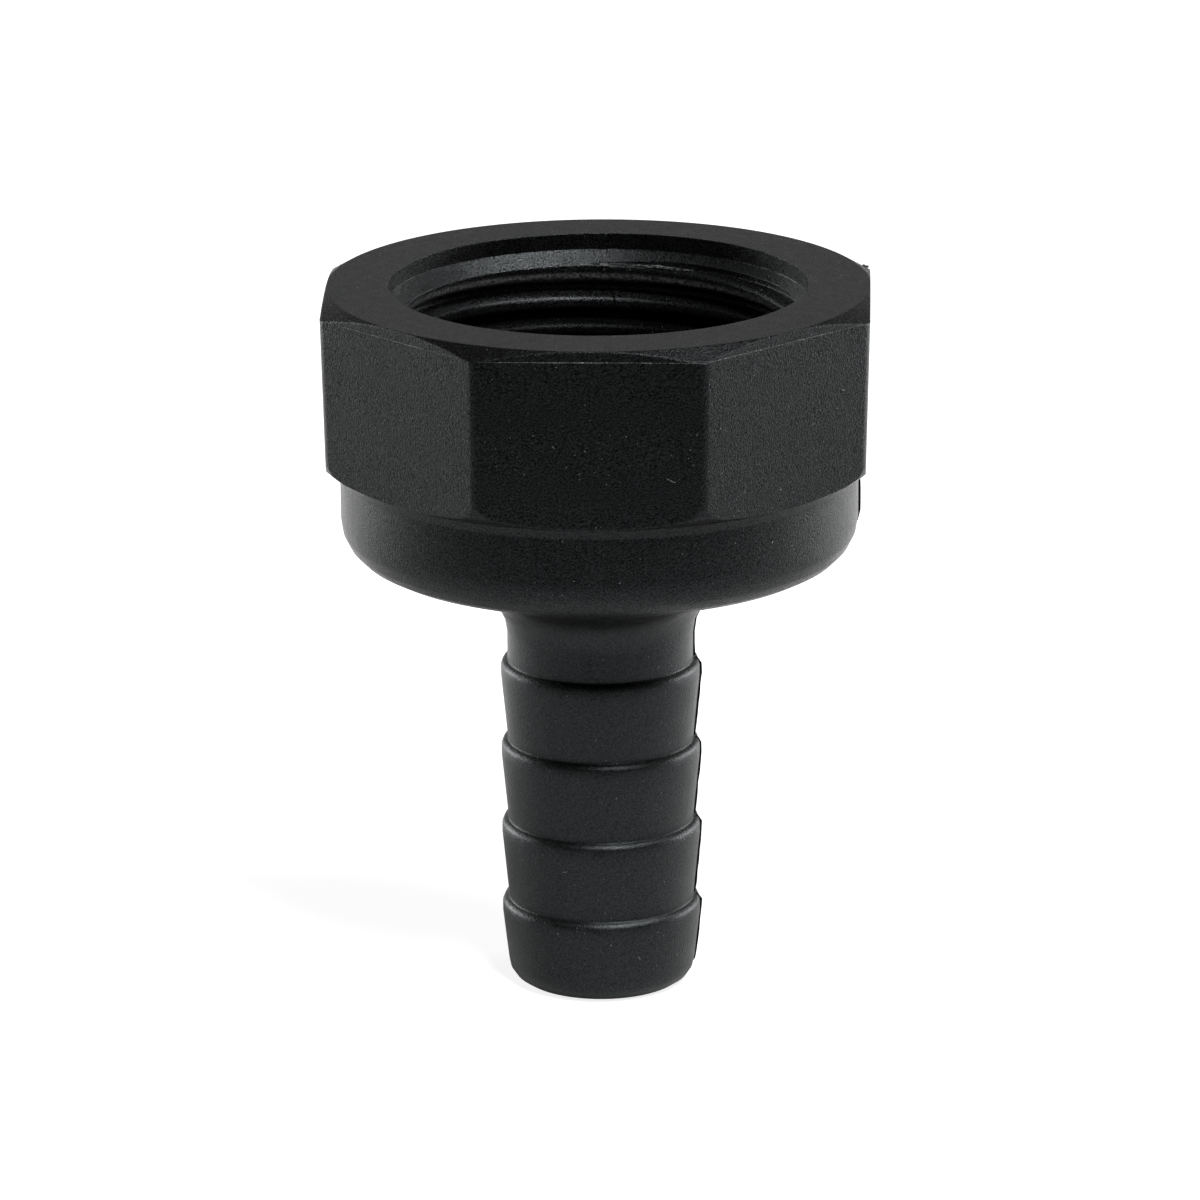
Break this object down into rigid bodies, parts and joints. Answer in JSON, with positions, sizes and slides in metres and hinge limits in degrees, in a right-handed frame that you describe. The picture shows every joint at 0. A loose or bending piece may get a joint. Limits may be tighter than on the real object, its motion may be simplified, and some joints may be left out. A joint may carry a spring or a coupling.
{
  "type": "thru hull adapter",
  "caption": "Straight pipe adapter: octagonal head with a female pipe thread above a round collar and a barbed hose tail, one black plastic moulding.",
  "frame": {"origin": "centre of the tail end's face, on the axis of the water way", "axes": "+Z along the axis towards the threaded mouth; one flat of the octagonal head faces -Y"},
  "size_m": [0.0434, 0.0434, 0.0584],
  "materials": {
    "moulded_plastic": "fine eroded grain, low sheen"
  },
  "bodies": {
    "root": {"adapter_body": "moulded_plastic"}
  },
  "joints": []
}
